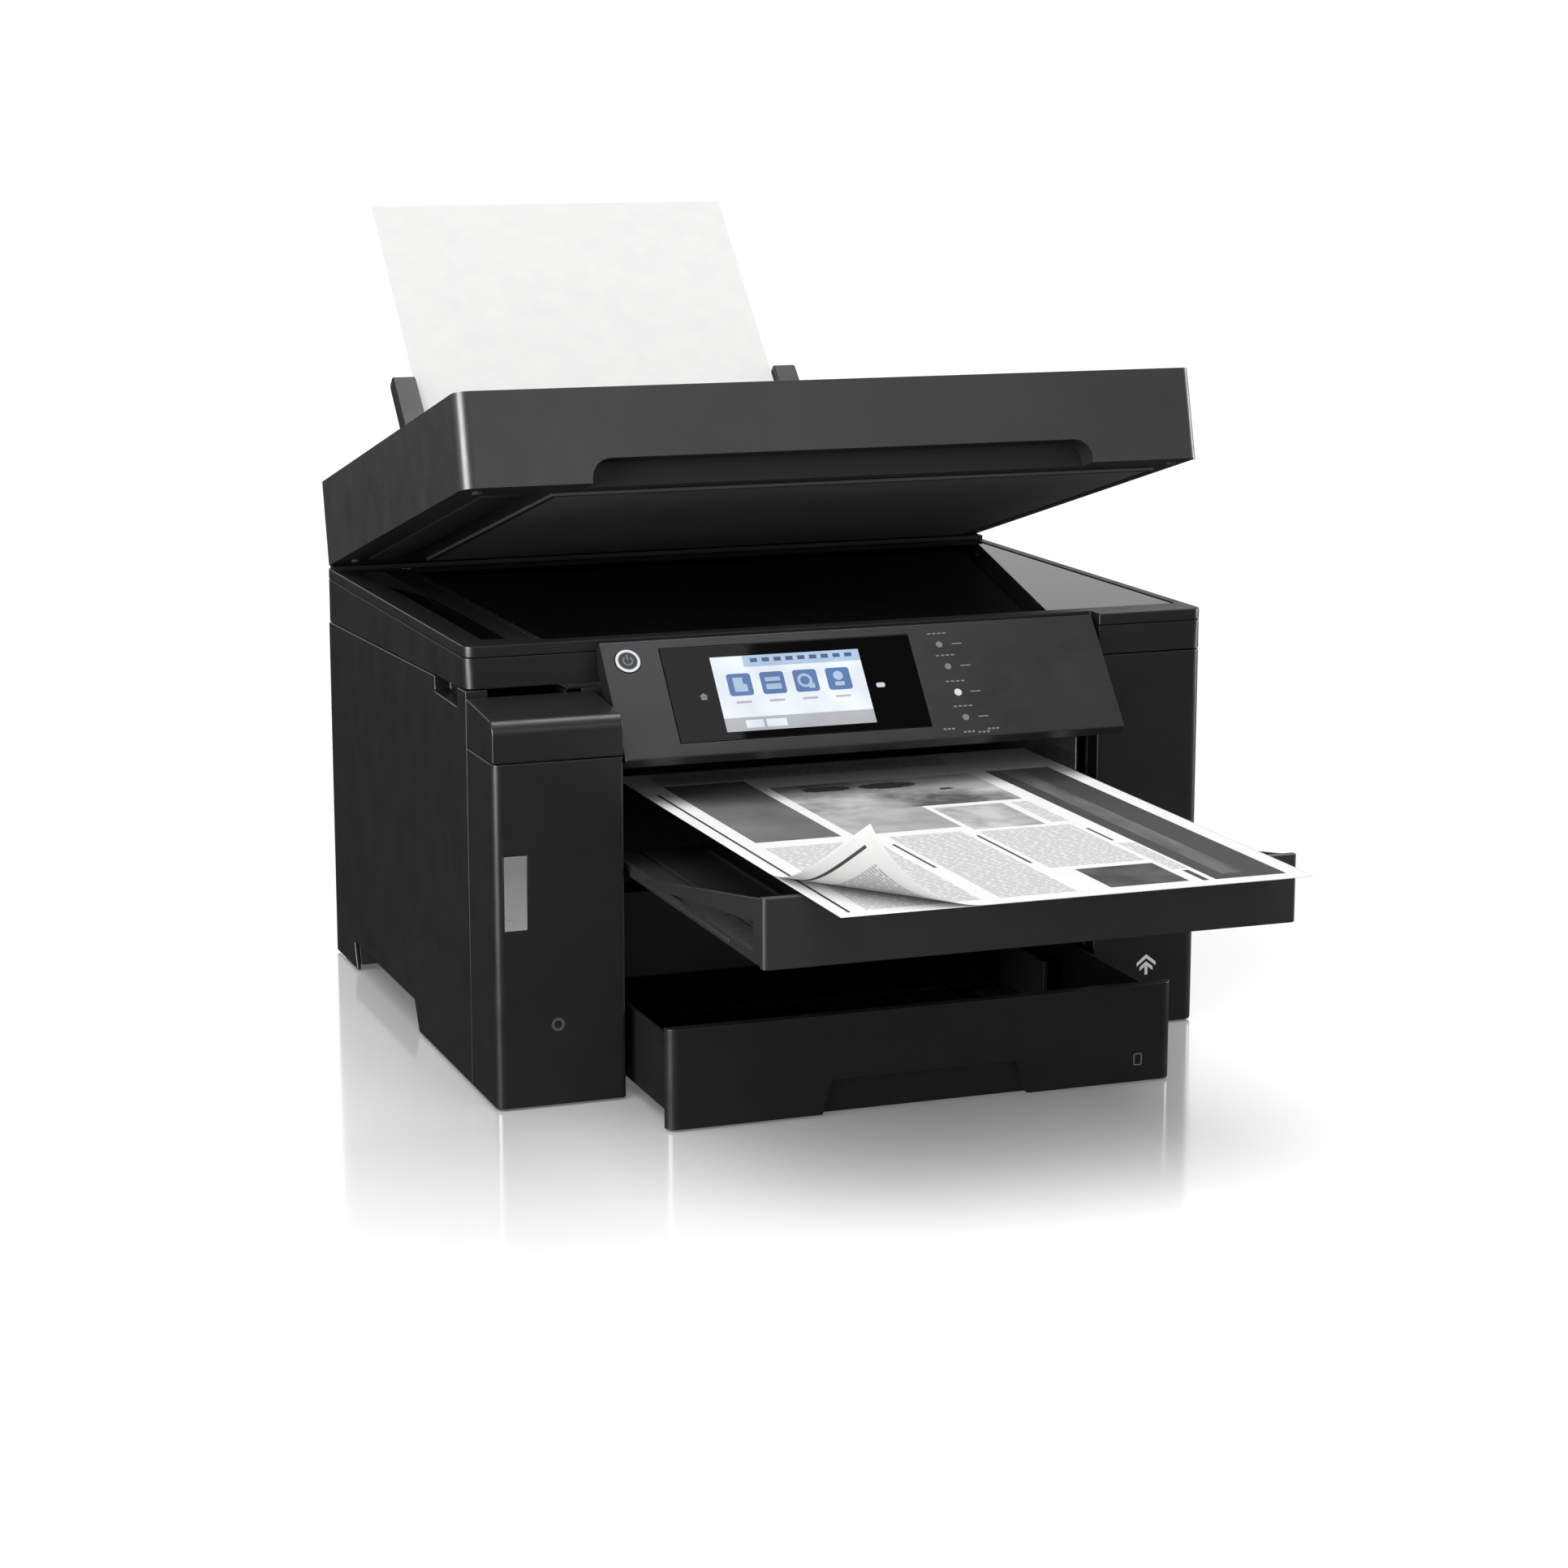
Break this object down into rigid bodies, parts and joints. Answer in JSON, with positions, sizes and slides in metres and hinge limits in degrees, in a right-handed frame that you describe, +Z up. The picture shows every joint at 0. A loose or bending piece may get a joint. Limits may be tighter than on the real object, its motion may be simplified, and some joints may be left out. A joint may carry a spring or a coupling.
{
  "type": "inkjet printer",
  "caption": "Wide-format ink-tank multifunction inkjet printer with lid open, two paper cassettes, extended output tray, tilting touch panel, side ink-tank tower and rear sheet feed.",
  "frame": {"origin": "centre of the whole machine's bounding box in plan, on the surface it stands on, with the tray, sheets and lid as stored", "axes": "+Z up, the front with the output tray faces -Y, +X is to the right seen from the front"},
  "size_m": [0.515, 1.0592, 0.5391],
  "materials": {
    "shell": "fine satin-textured black plastic",
    "lid": "fine satin-textured charcoal plastic",
    "panel": "fine satin charcoal plastic",
    "tray": "fine satin black plastic",
    "frame": "plain moulded black plastic",
    "dark": "black plastic",
    "mat": "smooth dark foam-backed sheet",
    "rubber": "matt black rubber",
    "roller": "ground rubber on a steel shaft",
    "gear": "natural white moulded gear plastic",
    "glass": "polished glass over black",
    "window": "translucent grey window",
    "tank": "milky translucent plastic",
    "steel": "zinc-coated sheet steel",
    "board": "green solder mask",
    "paper": "plain office paper",
    "black": "black cap",
    "cyan": "cyan cap",
    "magenta": "magenta cap",
    "yellow": "yellow cap"
  },
  "bodies": {
    "body": {"base_pan": "frame", "left_cover": "shell", "right_cover": "shell", "rear_cover": "shell", "rear_feed_housing": "shell", "power_inlet": "dark", "front_frame": "frame", "tank_housing": "shell", "tank_window": "window", "ink_tank_black": "tank", "ink_tank_cyan": "tank", "ink_tank_magenta": "tank", "ink_tank_yellow": "tank", "foot_front_left": "rubber", "foot_front_right": "rubber", "foot_rear_left": "rubber", "foot_rear_right": "rubber", "engine_frame": "steel", "guide_rail": "steel", "platen": "frame", "carriage_belt": "rubber", "carriage_motor": "steel", "capping_station": "frame", "main_board": "board", "power_supply": "steel", "rear_support": "shell", "rear_sheet": "paper"},
    "scanner": {"scanner_base": "shell", "scanner_frame": "shell", "scanner_glass": "glass"},
    "scan_carriage": {"scan_carriage": "frame"},
    "lid": {"document_cover": "lid", "document_mat": "mat"},
    "adf_cover": {"adf_cover": "lid"},
    "adf_tray": {"adf_tray": "lid"},
    "adf_roller": {"adf_roller": "rubber"},
    "panel": {"control_panel": "panel", "touch_screen": "glass"},
    "power_button": {"power_button": "panel"},
    "tank_lid": {"tank_lid": "shell"},
    "cap_black": {"ink_cap_black": "black"},
    "cap_cyan": {"ink_cap_cyan": "cyan"},
    "cap_magenta": {"ink_cap_magenta": "magenta"},
    "cap_yellow": {"ink_cap_yellow": "yellow"},
    "print_carriage": {"print_carriage": "frame"},
    "drive_pulley": {"drive_pulley": "frame"},
    "idler_pulley": {"idler_pulley": "frame"},
    "feed_roller": {"feed_roller": "roller"},
    "exit_roller": {"exit_roller": "roller"},
    "idler_gear": {"idler_gear": "gear"},
    "tray": {"output_tray": "tray", "printed_sheet": "paper"},
    "lower_cassette": {"lower_cassette": "shell"},
    "cassette_guide_left": {"cassette_guide_left": "frame"},
    "cassette_guide_right": {"cassette_guide_right": "frame"},
    "upper_cassette": {"upper_cassette": "shell"},
    "rear_extension": {"rear_support_extension": "shell"},
    "rear_guide_left": {"rear_guide_left": "dark"},
    "rear_guide_right": {"rear_guide_right": "dark"},
    "maintenance_box": {"maintenance_box": "frame"}
  },
  "joints": [
    {"name": "scanner_open", "type": "hinge", "parent": "body", "child": "scanner", "pos_m": [0, 0.22444, 0.252], "axis": [-1, 0, 0], "range_deg": [0, 18]},
    {"name": "scan_carriage_travel", "type": "slide", "parent": "scanner", "child": "scan_carriage", "axis": [1, 0, 0], "range_m": [0, 0.42]},
    {"name": "lid_open", "type": "hinge", "parent": "scanner", "child": "lid", "pos_m": [0, 0.21744, 0.293], "axis": [-1, 0, 0], "range_deg": [-14.6, 32]},
    {"name": "adf_cover_open", "type": "hinge", "parent": "lid", "child": "adf_cover", "pos_m": [-0.246, 0.17488, 0.36764], "axis": [0, -0.9677, 0.2521], "range_deg": [0, 70]},
    {"name": "adf_tray_raise", "type": "hinge", "parent": "lid", "child": "adf_tray", "pos_m": [-0.0596, 0.17488, 0.36764], "axis": [0, -0.9677, 0.2521], "range_deg": [0, 25]},
    {"name": "adf_roller_spin", "type": "hinge", "parent": "lid", "child": "adf_roller", "pos_m": [-0.1, 0.03347, 0.38019], "axis": [0, 0.9677, -0.2521], "continuous": true},
    {"name": "panel_tilt", "type": "hinge", "parent": "body", "child": "panel", "pos_m": [0, -0.16256, 0.281], "axis": [-1, 0, 0], "range_deg": [-12, 40]},
    {"name": "power_press", "type": "slide", "parent": "panel", "child": "power_button", "axis": [0, 0.7716, -0.6361], "range_m": [0, 0.0015], "stiffness_N_per_m": 400},
    {"name": "tank_lid_open", "type": "hinge", "parent": "body", "child": "tank_lid", "pos_m": [0, -0.15906, 0.2565], "axis": [-1, 0, 0], "range_deg": [0, 75]},
    {"name": "cap_black_open", "type": "hinge", "parent": "body", "child": "cap_black", "pos_m": [-0.2435, -0.17556, 0.2085], "axis": [-1, 0, 0], "range_deg": [0, 95]},
    {"name": "cap_cyan_open", "type": "hinge", "parent": "body", "child": "cap_cyan", "pos_m": [-0.2275, -0.17556, 0.2085], "axis": [-1, 0, 0], "range_deg": [0, 95]},
    {"name": "cap_magenta_open", "type": "hinge", "parent": "body", "child": "cap_magenta", "pos_m": [-0.2115, -0.17556, 0.2085], "axis": [-1, 0, 0], "range_deg": [0, 95]},
    {"name": "cap_yellow_open", "type": "hinge", "parent": "body", "child": "cap_yellow", "pos_m": [-0.1955, -0.17556, 0.2085], "axis": [-1, 0, 0], "range_deg": [0, 95]},
    {"name": "print_carriage_travel", "type": "slide", "parent": "body", "child": "print_carriage", "axis": [-1, 0, 0], "range_m": [0, 0.33]},
    {"name": "drive_pulley_spin", "type": "hinge", "parent": "body", "child": "drive_pulley", "pos_m": [0.2355, 0.02244, 0.234], "axis": [0, 1, 0], "continuous": true},
    {"name": "idler_pulley_spin", "type": "hinge", "parent": "body", "child": "idler_pulley", "pos_m": [-0.164, 0.02244, 0.234], "axis": [0, 1, 0], "continuous": true},
    {"name": "feed_roller_spin", "type": "hinge", "parent": "body", "child": "feed_roller", "pos_m": [0.00425, 0.04244, 0.209], "axis": [1, 0, 0], "continuous": true},
    {"name": "exit_roller_spin", "type": "hinge", "parent": "body", "child": "exit_roller", "pos_m": [0.00425, -0.07956, 0.209], "axis": [1, 0, 0], "continuous": true},
    {"name": "idler_gear_spin", "type": "hinge", "parent": "body", "child": "idler_gear", "pos_m": [-0.184, -0.01856, 0.209], "axis": [1, 0, 0], "continuous": true},
    {"name": "tray_slide", "type": "slide", "parent": "body", "child": "tray", "axis": [0, 1, 0], "range_m": [0, 0.24]},
    {"name": "lower_cassette_slide", "type": "slide", "parent": "body", "child": "lower_cassette", "axis": [0, -1, 0], "range_m": [-0.118, 0.2]},
    {"name": "cassette_guide_left_slide", "type": "slide", "parent": "lower_cassette", "child": "cassette_guide_left", "axis": [1, 0, 0], "range_m": [0, 0.074]},
    {"name": "cassette_guide_right_slide", "type": "slide", "parent": "lower_cassette", "child": "cassette_guide_right", "axis": [1, 0, 0], "range_m": [-0.074, 0]},
    {"name": "upper_cassette_slide", "type": "slide", "parent": "body", "child": "upper_cassette", "axis": [0, -1, 0], "range_m": [0, 0.25]},
    {"name": "rear_extension_slide", "type": "slide", "parent": "body", "child": "rear_extension", "axis": [0, 0.6984, 0.7157], "range_m": [-0.115, 0]},
    {"name": "rear_guide_left_slide", "type": "slide", "parent": "body", "child": "rear_guide_left", "axis": [-1, 0, 0], "range_m": [0, 0.016]},
    {"name": "rear_guide_right_slide", "type": "slide", "parent": "body", "child": "rear_guide_right", "axis": [1, 0, 0], "range_m": [0, 0.016]},
    {"name": "maintenance_box_slide", "type": "slide", "parent": "body", "child": "maintenance_box", "axis": [0, 1, 0], "range_m": [0, 0.08]}
  ],
  "couplings": [
    {"joint": "drive_pulley_spin", "follows": "print_carriage_travel", "rad_per_m": 104},
    {"joint": "idler_pulley_spin", "follows": "print_carriage_travel", "rad_per_m": 104},
    {"joint": "exit_roller_spin", "follows": "feed_roller_spin", "ratio": 1},
    {"joint": "idler_gear_spin", "follows": "feed_roller_spin", "ratio": -0.64865},
    {"joint": "cassette_guide_right_slide", "follows": "cassette_guide_left_slide", "ratio": -1},
    {"joint": "rear_guide_right_slide", "follows": "rear_guide_left_slide", "ratio": 1}
  ]
}
